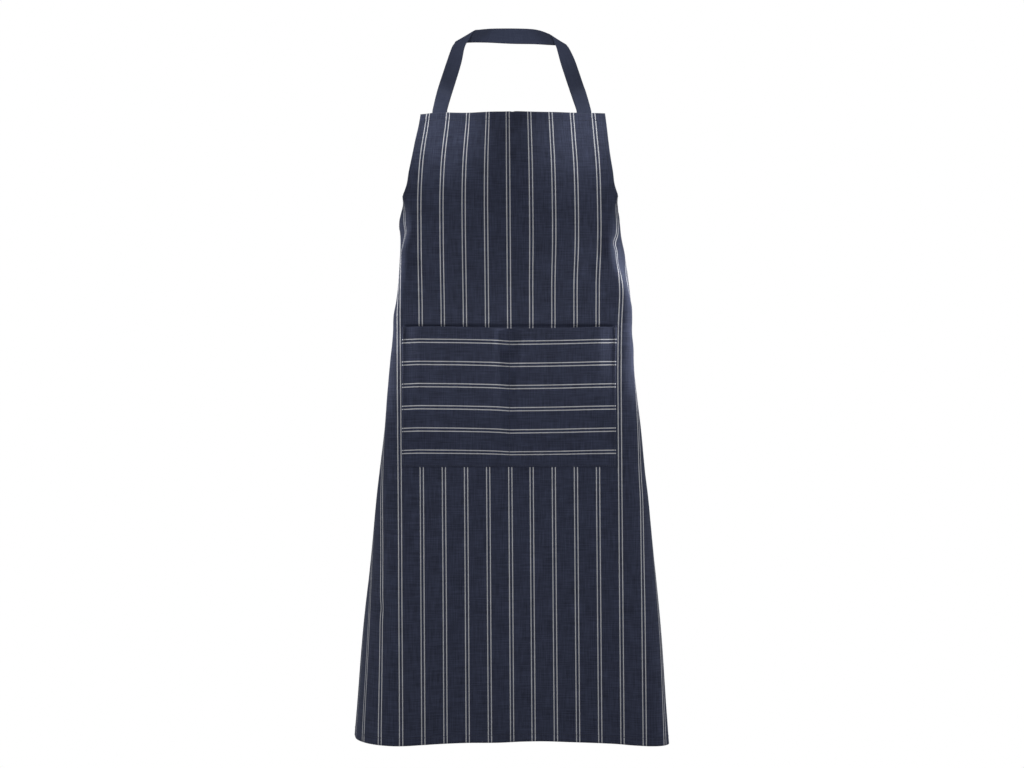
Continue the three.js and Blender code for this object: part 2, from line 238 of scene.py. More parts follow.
def ruled_route(pairs: Array, width: float, stations: int) -> Route:
    """A smooth route between a tape's two edges.

    Args:
        pairs: matching places on the first and the second edge.
        width: the tape's width, which the across direction is measured in.
        stations: how many stations to make.

    Returns:
        The route along the middle. Its across reaches from edge to edge, longer than 1 where it slants.
    """
    middle = pairs.mean(axis=1)
    sampled = smooth_samples(np.hstack([middle, (pairs[:, 1] - pairs[:, 0]) / width]), stations)
    places, across = sampled[:, :3], sampled[:, 3:]
    return Route(places, across, unit(np.cross(across, np.gradient(places, axis=0))))


def carried_profile(name: str, route: Route, profile: Array, widths: Array) -> bpy.types.Object:
    """Carries a closed profile along a route.

    Args:
        name: the piece's name.
        route: the stations.
        profile: corners of the closed section as (across, out), anticlockwise from the route's start.
        widths: how much the section is widened at each station.

    Returns:
        The piece: every station's corner is middle + width * across + out * normal, with flat ends.
    """
    n, m = len(route.points), len(profile)
    side = profile[None, :, 0:1] * widths[:, None, None]
    points = route.points[:, None] + side * route.across[:, None] + profile[None, :, 1:2] * route.normal[:, None]
    number = np.arange(n * m).reshape(n, m)
    a, b = number[:-1], number[1:]
    quads = np.stack([a, np.roll(a, -1, 1), np.roll(b, -1, 1), b], axis=-1).reshape(-1, 4)
    faces = quads.tolist() + [number[0, ::-1].tolist(), number[-1].tolist()]
    flat = np.stack([FLAT_MIDDLE + side[..., 0], np.broadcast_to(route.lengths()[:, None], (n, m))], axis=-1)
    return new_piece(name, points.reshape(-1, 3), faces, flat.reshape(-1, 2))


def tape_profile(width: float, thickness: float, selvedge: float = 0.15) -> Array:
    """The section of a woven tape: flat, with a slightly thicker selvedge and rounded edges.

    Args:
        width: from edge to edge.
        thickness: in the middle.
        selvedge: how much thicker the edges are, as a share.

    Returns:
        Closed corners (across, out), anticlockwise.
    """
    s = np.linspace(-1.0, 1.0, 13)
    # The selvedge rises from 0.72 of the half width, and the edge rounds off from 0.93 of it
    half = thickness / 2 * (1.0 + selvedge * smoothstep(np.abs(s), 0.72, 0.88))
    half = half * np.sqrt(np.clip(1.0 - smoothstep(np.abs(s), 0.93, 1.0) * 0.75, 0.0, 1.0))
    lower = np.stack([s * width / 2, -half], axis=1)
    upper = np.stack([s[::-1] * width / 2, half[::-1]], axis=1)
    return np.concatenate([lower, upper])


# ---------------------------------------------------------------------------------------------
# Finishes
# ---------------------------------------------------------------------------------------------

def add_node(material: Any, kind: str, inputs: dict[Any, Any] | None = None, **settings: Any) -> bpy.types.Node:
    """Adds a node with its settings and links.

    Args:
        material: the material or world that owns the tree.
        kind: the node's Blender type.
        inputs: values or sockets for its inputs, by name or number.
        settings: the node's own properties.

    Returns:
        The new node.
    """
    tree = material.node_tree
    node = tree.nodes.new(kind)
    for key, value in settings.items():
        setattr(node, key, value)
    for key, value in (inputs or {}).items():
        if isinstance(value, bpy.types.NodeSocket):
            tree.links.new(value, node.inputs[key])
        else:
            node.inputs[key].default_value = value
    return node


def new_material(name: str) -> bpy.types.Material:
    """An empty node material."""
    material = bpy.data.materials.new(name)
    material.use_nodes = True
    material.node_tree.nodes.clear()
    return material


class StripeRun(Enum):
    """Which way a cut of the striped cloth lies."""

    DOWN = "down"
    ACROSS = "across"


@dataclass(frozen=True)
class WovenCotton:
    """Plain-woven yarn-dyed cotton: matt, with slubs, a soft mottle and a faint nap at its edges.

    Its threads lie about 0.5 mm apart. They are drawn 1.1 mm apart, because finer ones would not show.
    """

    name: str
    navy: str
    navy_light: str
    line: str = "#d0d1d6"
    run: StripeRun | None = StripeRun.DOWN
    stripe_pitch: float = 33.2 * MM
    stripe_shift: float = -6.6 * MM
    stripe_drift: float = 0.0072
    line_gap: float = 4.85 * MM
    line_width: float = 1.4 * MM
    line_blur: float = 0.18 * MM
    thread: float = 1.1 * MM
    slub_width: float = 1.6 * MM
    slub_length: float = 34 * MM
    mottle: float = 26 * MM

    def make(self) -> bpy.types.Material:
        """Builds the node material.

        Returns:
            A Principled cloth whose colour is navy yarn varied by slubs along both thread directions,
            with pairs of off-white yarns, and whose bump is the over-and-under of the threads.
        """
        m = new_material(self.name)
        flat = add_node(m, "ShaderNodeUVMap", uv_map="cloth").outputs[0]
        parts = add_node(m, "ShaderNodeSeparateXYZ", {0: flat})
        across, down = parts.outputs[0], parts.outputs[1]
        yarn = self._yarn_variation(m, flat)
        colour = add_node(m, "ShaderNodeMix", {0: yarn, 6: linear(self.navy), 7: linear(self.navy_light)},
                          data_type="RGBA").outputs[2]
        if self.run is not None:
            first, second = (across, down) if self.run is StripeRun.DOWN else (down, across)
            colour = self._striped(m, colour, first, second, yarn)
        height = self._weave_height(m, across, down, yarn)
        normal = add_node(m, "ShaderNodeBump", {"Strength": 0.55, "Distance": 0.25 * MM, "Height": height})
        surface = add_node(m, "ShaderNodeBsdfPrincipled", {
            "Base Color": colour, "Roughness": 0.88, "Specular IOR Level": 0.25, "Sheen Weight": 0.22,
            "Sheen Roughness": 0.45, "Sheen Tint": linear("#aab4d0"), "Normal": normal.outputs[0]})
        add_node(m, "ShaderNodeOutputMaterial", {0: surface.outputs[0]})
        return m

    def _yarn_variation(self, m: bpy.types.Material, flat: bpy.types.NodeSocket) -> bpy.types.NodeSocket:
        """Slubs as noise stretched along each thread direction, plus a soft mottle, from 0 to 1."""
        streaks = []
        fine, long = 1 / self.slub_width, 1 / self.slub_length
        for scale in ((fine, long, 1.0), (long, fine, 1.0)):
            place = add_node(m, "ShaderNodeMapping", {0: flat, 3: scale})
            streaks.append(add_node(m, "ShaderNodeTexNoise", {
                "Vector": place.outputs[0], "Scale": 1.0, "Detail": 2.0, "Roughness": 0.6}).outputs[0])
        mottle = add_node(m, "ShaderNodeTexNoise", {
            "Vector": flat, "Scale": 1 / self.mottle, "Detail": 3.0, "Roughness": 0.55}).outputs[0]
        both = add_node(m, "ShaderNodeMath", {0: streaks[0], 1: streaks[1]}, operation="ADD").outputs[0]
        summed = add_node(m, "ShaderNodeMath", {0: mottle, 1: 0.5, 2: both}, operation="MULTIPLY_ADD").outputs[0]
        # The three noises together stay mostly between 0.79 and 1.71
        return add_node(m, "ShaderNodeMapRange", {0: summed, 1: 0.79, 2: 1.71}).outputs[0]

    def _striped(self, m: bpy.types.Material, ground: bpy.types.NodeSocket, first: bpy.types.NodeSocket,
                 second: bpy.types.NodeSocket, yarn: bpy.types.NodeSocket) -> bpy.types.NodeSocket:
        """Lays pairs of off-white yarns on the ground colour.

        Args:
            m: the material.
            ground: the navy ground colour.
            first: the place across the stripes, in metres.
            second: the place along them.
            yarn: the yarn variation.

        Returns:
            The colour: a pair's two lines lie where the distance to the pair's middle is half the gap.
        """
        drift = add_node(m, "ShaderNodeMath", {0: second, 1: -self.stripe_drift, 2: first},
                         operation="MULTIPLY_ADD").outputs[0]
        shift = self.stripe_shift
        if self.run is StripeRun.DOWN:
            shift += FLAT_MIDDLE - self.stripe_pitch / 2
        placed = add_node(m, "ShaderNodeMath", {0: drift, 1: shift}, operation="SUBTRACT").outputs[0]
        wrapped = add_node(m, "ShaderNodeMath", {0: placed, 1: self.stripe_pitch},
                           operation="FLOORED_MODULO").outputs[0]
        middle = add_node(m, "ShaderNodeMath", {0: wrapped, 1: self.stripe_pitch / 2},
                          operation="SUBTRACT").outputs[0]
        aside = add_node(m, "ShaderNodeMath", {0: middle}, operation="ABSOLUTE").outputs[0]
        off = add_node(m, "ShaderNodeMath", {0: aside, 1: self.line_gap / 2}, operation="SUBTRACT").outputs[0]
        off = add_node(m, "ShaderNodeMath", {0: off}, operation="ABSOLUTE").outputs[0]
        half = self.line_width / 2
        mask = add_node(m, "ShaderNodeMapRange", {
            0: off, 1: half + self.line_blur, 2: half - self.line_blur, 3: 0.0, 4: 1.0},
            interpolation_type="SMOOTHSTEP").outputs[0]
        worn = add_node(m, "ShaderNodeMapRange", {0: yarn, 1: 0.0, 2: 1.0, 3: 0.72, 4: 1.0}).outputs[0]
        mask = add_node(m, "ShaderNodeMath", {0: mask, 1: worn}, operation="MULTIPLY").outputs[0]
        return add_node(m, "ShaderNodeMix", {0: mask, 6: ground, 7: linear(self.line)},
                        data_type="RGBA").outputs[2]

    def _weave_height(self, m: bpy.types.Material, across: bpy.types.NodeSocket, down: bpy.types.NodeSocket,
                      yarn: bpy.types.NodeSocket) -> bpy.types.NodeSocket:
        """Thread height: sin(across) x sin(down) at the thread spacing, lifted where the yarn is thick."""
        waves = []
        for place in (across, down):
            angle = add_node(m, "ShaderNodeMath", {0: place, 1: math.pi / self.thread}, operation="MULTIPLY")
            waves.append(add_node(m, "ShaderNodeMath", {0: angle.outputs[0]}, operation="SINE").outputs[0])
        crossing = add_node(m, "ShaderNodeMath", {0: waves[0], 1: waves[1]}, operation="MULTIPLY").outputs[0]
        return add_node(m, "ShaderNodeMath", {0: crossing, 1: 0.5, 2: yarn}, operation="MULTIPLY_ADD").outputs[0]


@dataclass(frozen=True)
class SpunThread:
    """Spun polyester sewing thread: a slight lustre and a fine twist."""

    name: str
    colour: str
    lit_colour: str = "#3d4358"
    twist: float = 0.7 * MM

    def make(self) -> bpy.types.Material:
        """A dark thread whose bump and shade are a fine noise as long as the twist."""
        m = new_material(self.name)
        place = add_node(m, "ShaderNodeTexCoord").outputs["Object"]
        twist = add_node(m, "ShaderNodeTexNoise", {"Vector": place, "Scale": 1 / self.twist, "Detail": 1.0})
        shade = add_node(m, "ShaderNodeMix", {
            0: twist.outputs[0], 6: linear(self.colour), 7: linear(self.lit_colour)}, data_type="RGBA")
        normal = add_node(m, "ShaderNodeBump", {"Strength": 0.4, "Distance": 0.1 * MM, "Height": twist.outputs[0]})
        surface = add_node(m, "ShaderNodeBsdfPrincipled", {
            "Base Color": shade.outputs[2], "Roughness": 0.6, "Normal": normal.outputs[0]})
        add_node(m, "ShaderNodeOutputMaterial", {0: surface.outputs[0]})
        return m


@dataclass(frozen=True)
class PaperFloor:
    """Matt white studio paper: clean and without a visible grain at this distance."""

    name: str = "matt_studio_paper"

    def make(self) -> bpy.types.Material:
        """A pale surface with a barely uneven tone."""
        m = new_material(self.name)
        place = add_node(m, "ShaderNodeTexCoord").outputs["Object"]
        tone = add_node(m, "ShaderNodeTexNoise", {"Vector": place, "Scale": 3.0})
        shade = add_node(m, "ShaderNodeMix", {0: tone.outputs[0], 6: linear("#d2d2d2"), 7: linear("#d8d8d8")},
                         data_type="RGBA")
        surface = add_node(m, "ShaderNodeBsdfPrincipled", {"Base Color": shade.outputs[2], "Roughness": 0.9})
        add_node(m, "ShaderNodeOutputMaterial", {0: surface.outputs[0]})
        return m


# ---------------------------------------------------------------------------------------------
# Camera, light and floor
# ---------------------------------------------------------------------------------------------

@dataclass
class Studio:
    """The camera, lights, world and floor round the apron."""

    camera_distance: float = 2.70
    image_width_at_front: float = 1.536
    camera_height: float = -0.556
    front_y: float = -0.178
    floor_below: float = 1.80
    floor_radius: float = 1.2
    sensor: float = 36.0
    fill_below: float = 0.04
    fill_above: float = 0.39
    spot_softness: float = 0.03
    # Name, place, aim, width and height, watts, spread in degrees
    soft_boxes: Sequence[Any] = (
        ("main_soft_box", (-0.1, -1.70, -0.58), (0.0, -0.18, -0.58), (1.1, 0.5), 1.68, 90.0),
        ("left_soft_box", (-1.7, -0.4, -0.7), (0.0, -0.1, -0.8), (0.7, 0.8), 1.0, 80.0),
        ("right_soft_box", (1.7, -0.4, -0.7), (0.0, -0.1, -0.8), (0.7, 0.8), 1.4, 80.0),
        ("back_soft_box", (0.3, 1.9, 0.4), (0.0, 0.0, -0.5), (1.6, 1.2), 8.0, 180.0),
    )
    # Name, place, aim, full cone in degrees, watts
    spots: Sequence[Any] = (
        ("left_hair_light", (-0.42, -0.62, 0.62), (-0.122, -0.16, -0.158), 12.0, 30.0),
        ("right_hair_light", (0.42, -0.62, 0.62), (0.116, -0.17, -0.168), 12.0, 30.0),
        ("nape_light", (0.0, -1.7, 0.3), (0.0, 0.0, 0.0), 12.0, 55.0),
        ("left_waist_light", (-1.6, -0.24, -0.30), (-0.17, -0.15, -0.45), 15.0, 80.0),
        ("right_waist_light", (1.6, -0.24, -0.30), (0.18, -0.14, -0.45), 13.0, 150.0),
    )

    def place_camera(self) -> None:
        """Looks level along +Y, so that the front plane is image_width_at_front wide in view."""
        data = bpy.data.cameras.new("camera")
        data.sensor_width = self.sensor
        data.lens = self.sensor * self.camera_distance / self.image_width_at_front
        camera = bpy.data.objects.new("camera", data)
        camera.location = (0.0, self.front_y - self.camera_distance, self.camera_height)
        camera.rotation_euler = (math.pi / 2, 0.0, 0.0)
        bpy.context.scene.collection.objects.link(camera)
        bpy.context.scene.camera = camera

    def hang(self, data: bpy.types.Light, place: Sequence[float], aim: Sequence[float]) -> None:
        """Puts a light in its place, facing its aim."""
        lamp = bpy.data.objects.new(data.name, data)
        lamp.location = place
        lamp.rotation_euler = (Vector(aim) - Vector(place)).to_track_quat("-Z", "Y").to_euler()
        bpy.context.scene.collection.objects.link(lamp)

    def build_lights(self) -> None:
        """Hangs the soft boxes, and the spots on the bib's corners, the nape and the waist."""
        for name, place, aim, size, watts, spread in self.soft_boxes:
            data = bpy.data.lights.new(name, "AREA")
            data.spread = math.radians(spread)
            data.shape = "RECTANGLE"
            data.size, data.size_y = size
            data.energy = watts
            self.hang(data, place, aim)
        for name, place, aim, cone, watts in self.spots:
            data = bpy.data.lights.new(name, "SPOT")
            data.spot_size = math.radians(cone)
            data.spot_blend = 1.0
            data.shadow_soft_size = self.spot_softness
            data.energy = watts
            self.hang(data, place, aim)

    def build(self) -> None:
        """Sets the world, the lights and the floor.

        The world looks white to the camera. As a light it is dim, and rises with the height of the ray.
        """
        world = bpy.data.worlds.new("white_surround")
        world.use_nodes = True
        world.node_tree.nodes.clear()
        seen = add_node(world, "ShaderNodeLightPath").outputs["Is Camera Ray"]
        ray = add_node(world, "ShaderNodeTexCoord").outputs["Generated"]
        height = add_node(world, "ShaderNodeSeparateXYZ", {0: ray}).outputs[2]
        fill = add_node(world, "ShaderNodeMapRange", {
            0: height, 1: -1.0, 2: 1.0, 3: self.fill_below, 4: self.fill_above}).outputs[0]
        strength = add_node(world, "ShaderNodeMix", {0: seen, 2: fill, 3: 1.0}).outputs[0]
        white = add_node(world, "ShaderNodeBackground", {"Color": linear("#ffffff"), "Strength": strength})
        add_node(world, "ShaderNodeOutputWorld", {0: white.outputs[0]})
        bpy.context.scene.world = world
        self.build_lights()
        angle = np.linspace(0.0, 2 * math.pi, 96, endpoint=False)
        ring = np.stack([np.cos(angle), np.sin(angle)], axis=1) * self.floor_radius
        rim = np.column_stack([ring, np.full(len(ring), -self.floor_below)])
        floor = new_piece("floor", rim, [list(range(len(rim)))])
        floor.data.materials.append(PaperFloor().make())


# ---------------------------------------------------------------------------------------------
# How the cloth hangs
# ---------------------------------------------------------------------------------------------

@dataclass(frozen=True)
class Dent:
    """A small local fold: where it is in the cloth, how far it reaches, and how far it moves the cloth."""

    across: float
    drop: float
    width: float
    height: float
    aside: float
    back: float

    def moved(self, across: Array, drop: Array) -> Array:
        """The shift (aside, back, 0) times a bell in both directions."""
        share = bump(across, self.across, self.width) * bump(drop, self.drop, self.height)
        return share[..., None] * np.array([self.aside, self.back, 0.0])


@dataclass
class Drape:
    """The panel's cut and the shape it hangs in, in metres.

    A place in the cloth is (across, drop): the distance from the middle and below the bib's top edge.
    """

    length: float = 0.954
    cloth_half: float = 0.360
    armhole_drop: float = 0.265
    off_centre: float = 0.0038
    top_z: float = -0.141
    top_y: float = -0.1516
    bust_drop: float = 0.130
    bust_y: float = -0.200
    belly_drop: float = 0.315
    belly_y: float = -0.178
    lap_drop: float = 0.545
    hem_y: float = -0.190
    crown: float = 0.012
    crown_half: float = 0.150
    waist_angle: float = math.radians(112)
    hem_angle: float = math.radians(100)
    middle: float = -0.0072
    cut: Knots = (
        (0.0, 0.1485), (0.047, 0.1497), (0.072, 0.1504), (0.096, 0.1528), (0.121, 0.1558), (0.133, 0.1605),
        (0.145, 0.1705), (0.160, 0.1835), (0.190, 0.211), (0.215, 0.244), (0.240, 0.295), (0.265, 0.360))
    left_gather: Knots = (
        (0.0, 0.908), (0.016, 0.918), (0.047, 0.948), (0.077, 0.975), (0.115, 0.995), (0.200, 1.005), (0.300, 1.0))
    right_gather: Knots = (
        (0.0, 0.978), (0.016, 0.985), (0.047, 0.995), (0.077, 1.008), (0.137, 1.020), (0.210, 1.020), (0.255, 1.004),
        (0.300, 1.0))
    left_fold: Knots = (
        (0.0, 0.180), (0.110, 0.178), (0.145, 0.1685), (0.157, 0.1690), (0.169, 0.1706), (0.193, 0.1688),
        (0.217, 0.1688), (0.241, 0.1700), (0.265, 0.1714), (0.289, 0.1740), (0.313, 0.1782), (0.337, 0.1790),
        (0.385, 0.1840), (0.433, 0.1884), (0.481, 0.1923), (0.529, 0.1984), (0.589, 0.2064), (0.661, 0.2148),
        (0.733, 0.2222), (0.805, 0.2278), (0.877, 0.2325), (0.954, 0.2380))
    right_fold: Knots = (
        (0.0, 0.180), (0.110, 0.174), (0.145, 0.1610), (0.169, 0.1633), (0.193, 0.1660), (0.217, 0.1713),
        (0.241, 0.1756), (0.265, 0.1786), (0.289, 0.1806), (0.313, 0.1812), (0.337, 0.1808), (0.361, 0.1832),
        (0.385, 0.1838), (0.433, 0.1888), (0.481, 0.1947), (0.529, 0.1994), (0.589, 0.2053), (0.661, 0.2129),
        (0.733, 0.2204), (0.805, 0.2266), (0.877, 0.2316), (0.954, 0.2374))
    left_radius: Knots = (
        (0.0, 0.006), (0.120, 0.008), (0.310, 0.012), (0.400, 0.018), (0.470, 0.022), (0.560, 0.038), (0.680, 0.064),
        (0.800, 0.074), (0.954, 0.072))
    right_radius: Knots = (
        (0.0, 0.006), (0.120, 0.008), (0.300, 0.012), (0.360, 0.016), (0.470, 0.028), (0.560, 0.035), (0.680, 0.038),
        (0.800, 0.027), (0.954, 0.025))
    left_turn: Knots = ((0.122, 90), (0.150, 68), (0.175, 62), (0.200, 74), (0.222, 90))
    right_turn: Knots = ((0.120, 90), (0.148, 66), (0.235, 65), (0.265, 76), (0.300, 90))
    left_run: Knots = ((0.140, 0.018), (0.175, 0.024), (0.222, 0.016))
    right_run: Knots = ((0.140, 0.010), (0.190, 0.011), (0.230, 0.032), (0.265, 0.030), (0.300, 0.016))
    rear_radius: float = 0.030
    top_line: Knots = (
        (-0.150, -0.0052), (-0.122, -0.0034), (-0.080, -0.0022), (-0.040, -0.0022), (0.0, -0.0034), (0.016, -0.0040),
        (0.040, -0.0028), (0.070, -0.0022), (0.110, -0.0034), (0.150, -0.0037))
    bottom_line: Knots = (
        (-0.240, -0.001), (-0.200, -0.0020), (-0.160, -0.0022), (-0.133, -0.0006), (-0.106, 0.0012), (-0.070, 0.0028),
        (-0.020, 0.0032), (0.020, 0.0052), (0.050, 0.0057), (0.090, 0.0042), (0.136, 0.0022), (0.163, 0.0008),
        (0.181, -0.0007), (0.205, -0.0022))
    dents: Sequence[Dent] = (
        Dent(0.160, 0.203, 0.0090, 0.010, -0.0046, 0.0010), Dent(0.173, 0.202, 0.0060, 0.008, 0.0, 0.0060),
        Dent(0.190, 0.226, 0.0060, 0.020, 0.0004, -0.0030), Dent(0.1455, 0.206, 0.009, 0.024, -0.0010, -0.0035),
        Dent(0.162, 0.280, 0.0120, 0.034, 0.0024, 0.0), Dent(-0.173, 0.186, 0.0080, 0.010, 0.0016, 0.0010),
        Dent(-0.160, 0.232, 0.0050, 0.017, 0.0016, -0.0026), Dent(-0.157, 0.184, 0.009, 0.018, 0.0006, -0.0026),
        Dent(-0.205, 0.752, 0.012, 0.012, 0.0012, 0.0018), Dent(0.128, 0.244, 0.010, 0.012, 0.0, -0.0012))

    def cloth_edge(self, drop: Array, side: int) -> Array:
        """Distance from the middle to the cut's edge on one side, -1 left or 1 right."""
        return through(drop, self.cut) - side * self.off_centre * (1.0 - smoothstep(drop, 0.15, self.armhole_drop))

    def gathered(self, across: Array, drop: Array) -> Array:
        """The place across once the bib's ease is taken up: middle + share * (across - middle)."""
        left, right = through(drop, self.left_gather), through(drop, self.right_gather)
        pressed = 0.0012 * smoothstep(across, 0.0, 0.02) * smoothstep(drop, 0.30, 0.42)
        return self.middle + np.where(across < self.middle, left, right) * (across - self.middle) - pressed

    def front_y(self, drop: Array) -> Array:
        """Depth of the front: a quarter sine out over the bust, a smooth step in to the belly, then down."""
        chest = self.top_y + (self.bust_y - self.top_y) * np.sin(np.pi / 2 * np.clip(drop / self.bust_drop, 0, 1))
        belly = (self.belly_y - self.bust_y) * smoothstep(drop, self.bust_drop, self.belly_drop)
        t = np.clip((drop - self.lap_drop) / (self.length - self.lap_drop), 0.0, 1.0)
        return chest + belly + (self.hem_y - self.belly_y) * (1.0 - np.cos(np.pi / 2 * t))

    def cloth_down(self, drop: Array) -> Array:
        """Distance down the cloth along its middle line, the running length of the front's profile."""
        fine = np.linspace(-0.02, self.length + 0.02, 1200)
        y = self.front_y(fine)
        run = np.concatenate([[0.0], np.cumsum(np.hypot(np.diff(fine), np.diff(y)))])
        return np.interp(drop, fine, run) - np.interp(0.0, fine, run)

    def base(self, across: Array, drop: Array) -> Array:
        """The plain hang: flat in front, round a fold, a short run, then round and back along the flank."""
        across = self.gathered(across, drop)
        arc = np.abs(across)
        left = across < 0
        fold = np.where(left, through(drop, self.left_fold), through(drop, self.right_fold))
        radius = np.where(left, through(drop, self.left_radius), through(drop, self.right_radius))
        first = np.radians(np.where(left, through(drop, self.left_turn), through(drop, self.right_turn)))
        run = np.where(left, through(drop, self.left_run), through(drop, self.right_run))
        rear = self.rear_radius
        flat = fold - radius * np.sin(first) - run * np.cos(first) - rear * (1.0 - np.sin(first))
        lower = np.clip((drop - self.armhole_drop) / (self.length - self.armhole_drop), 0.0, 1.0)
        angle = self.waist_angle + (self.hem_angle - self.waist_angle) * lower
        turned = np.clip((arc - flat) / radius, 0.0, first)
        rest = arc - flat - radius * first
        side_run = np.clip(rest, 0.0, run)
        total = first + np.clip((rest - run) / rear, 0.0, angle - first)
        flank = np.maximum(rest - run - rear * (angle - first), 0.0)
        x = (np.minimum(arc, flat) + radius * np.sin(turned) + side_run * np.cos(first)
             + rear * (np.sin(total) - np.sin(first)) + flank * np.cos(angle))
        back = (radius * (1.0 - np.cos(turned)) + side_run * np.sin(first)
                + rear * (np.cos(first) - np.cos(total)) + flank * np.sin(angle))
        crown = self.crown * (1.0 - smoothstep(drop, self.bust_drop, self.belly_drop)) * (x / self.crown_half) ** 2
        return np.stack([np.sign(across) * x, self.front_y(drop) + back + crown, self.top_z - drop], axis=-1)

    def relief(self, across: Array, drop: Array) -> Array:
        """How far the cloth stands out from the plain hang, as soft folds along it."""
        arc = np.abs(across)
        skirt = smoothstep(drop, 0.40, 0.90)
        # Two long waves, quieter behind the pocket
        sway = 0.0014 * np.sin(across * 2 * np.pi / 0.31 + 0.7) * np.sin(drop * 2 * np.pi / 0.83 + 0.4)
        drift = 0.0008 * np.sin(across * 2 * np.pi / 0.143 + 2.1) * np.sin(drop * 2 * np.pi / 0.37 + 1.3)
        quiet = 1.0 - 0.8 * smoothstep(drop, 0.29, 0.33) * (1.0 - smoothstep(drop, 0.54, 0.60))
        # A fold out and a fold in near each side of the hem, and a small one on the right
        hem_folds = skirt * (0.0045 * bump(arc, 0.300, 0.020) - 0.0040 * bump(arc, 0.325, 0.018)
                             + 0.0010 * bump(across, 0.176, 0.016))
        # The bib's spare width, as four soft swells below its top edge
        top = 1.0 - smoothstep(drop, 0.0, 0.105)
        ease = top * (0.0040 * bump(across, 0.014, 0.020) - 0.0030 * bump(across, -0.070, 0.030)
                      - 0.0016 * bump(across, 0.085, 0.030) + 0.0022 * bump(across, -0.122, 0.018))
        return (sway + drift) * quiet + hem_folds + ease

    def level(self, across: Array, drop: Array) -> Array:
        """How far the cloth is lifted: the bib's top edge dips at its corners, the hem rises in the middle."""
        top = through(across, self.top_line) * (1.0 - smoothstep(drop, 0.0, 0.07))
        notch = -0.0008 * bump(across, 0.001, 0.0025) * (1.0 - smoothstep(drop, 0.0, 0.006))
        return top + notch + through(across, self.bottom_line) * smoothstep(drop, 0.45, self.length) ** 2

    def surface(self, across: Array, drop: Array) -> Array:
        """The cloth's middle layer: the plain hang moved along its normal by the relief."""
        base = self.base(across, drop)
        step = 0.0015
        right = self.base(across + step, drop) - self.base(across - step, drop)
        up = self.base(across, drop - step) - self.base(across, drop + step)
        normal = unit(np.cross(right, up))
        placed = base + normal * self.relief(across, drop)[..., None]
        placed[..., 2] += self.level(across, drop)
        for dent in self.dents:
            placed = placed + dent.moved(across, drop)
        return placed

    def frames(self, across: Array, drop: Array) -> tuple[Array, Array, Array, Array]:
        """Point, outward normal, direction to the right and direction up the cloth at each place."""
        step = 0.001
        right = unit(self.surface(across + step, drop) - self.surface(across - step, drop))
        up = unit(self.surface(across, drop - step) - self.surface(across, drop + step))
        return self.surface(across, drop), unit(np.cross(right, up)), right, up

    def place(self, across: Array, drop: Array, depth: Array | float) -> Array:
        """A point at a depth off the cloth's middle layer, positive towards the front."""
        point, normal, _, _ = self.frames(across, drop)
        return point + normal * np.asarray(depth)[..., None]

    def flat(self, across: Array, drop: Array) -> Array:
        """The place in the flat cloth for the UV map: across, and the distance down the cloth."""
        return np.stack([across + FLAT_MIDDLE, self.cloth_down(drop)], axis=-1)


# ---------------------------------------------------------------------------------------------
# The apron's sub-assemblies
# ---------------------------------------------------------------------------------------------

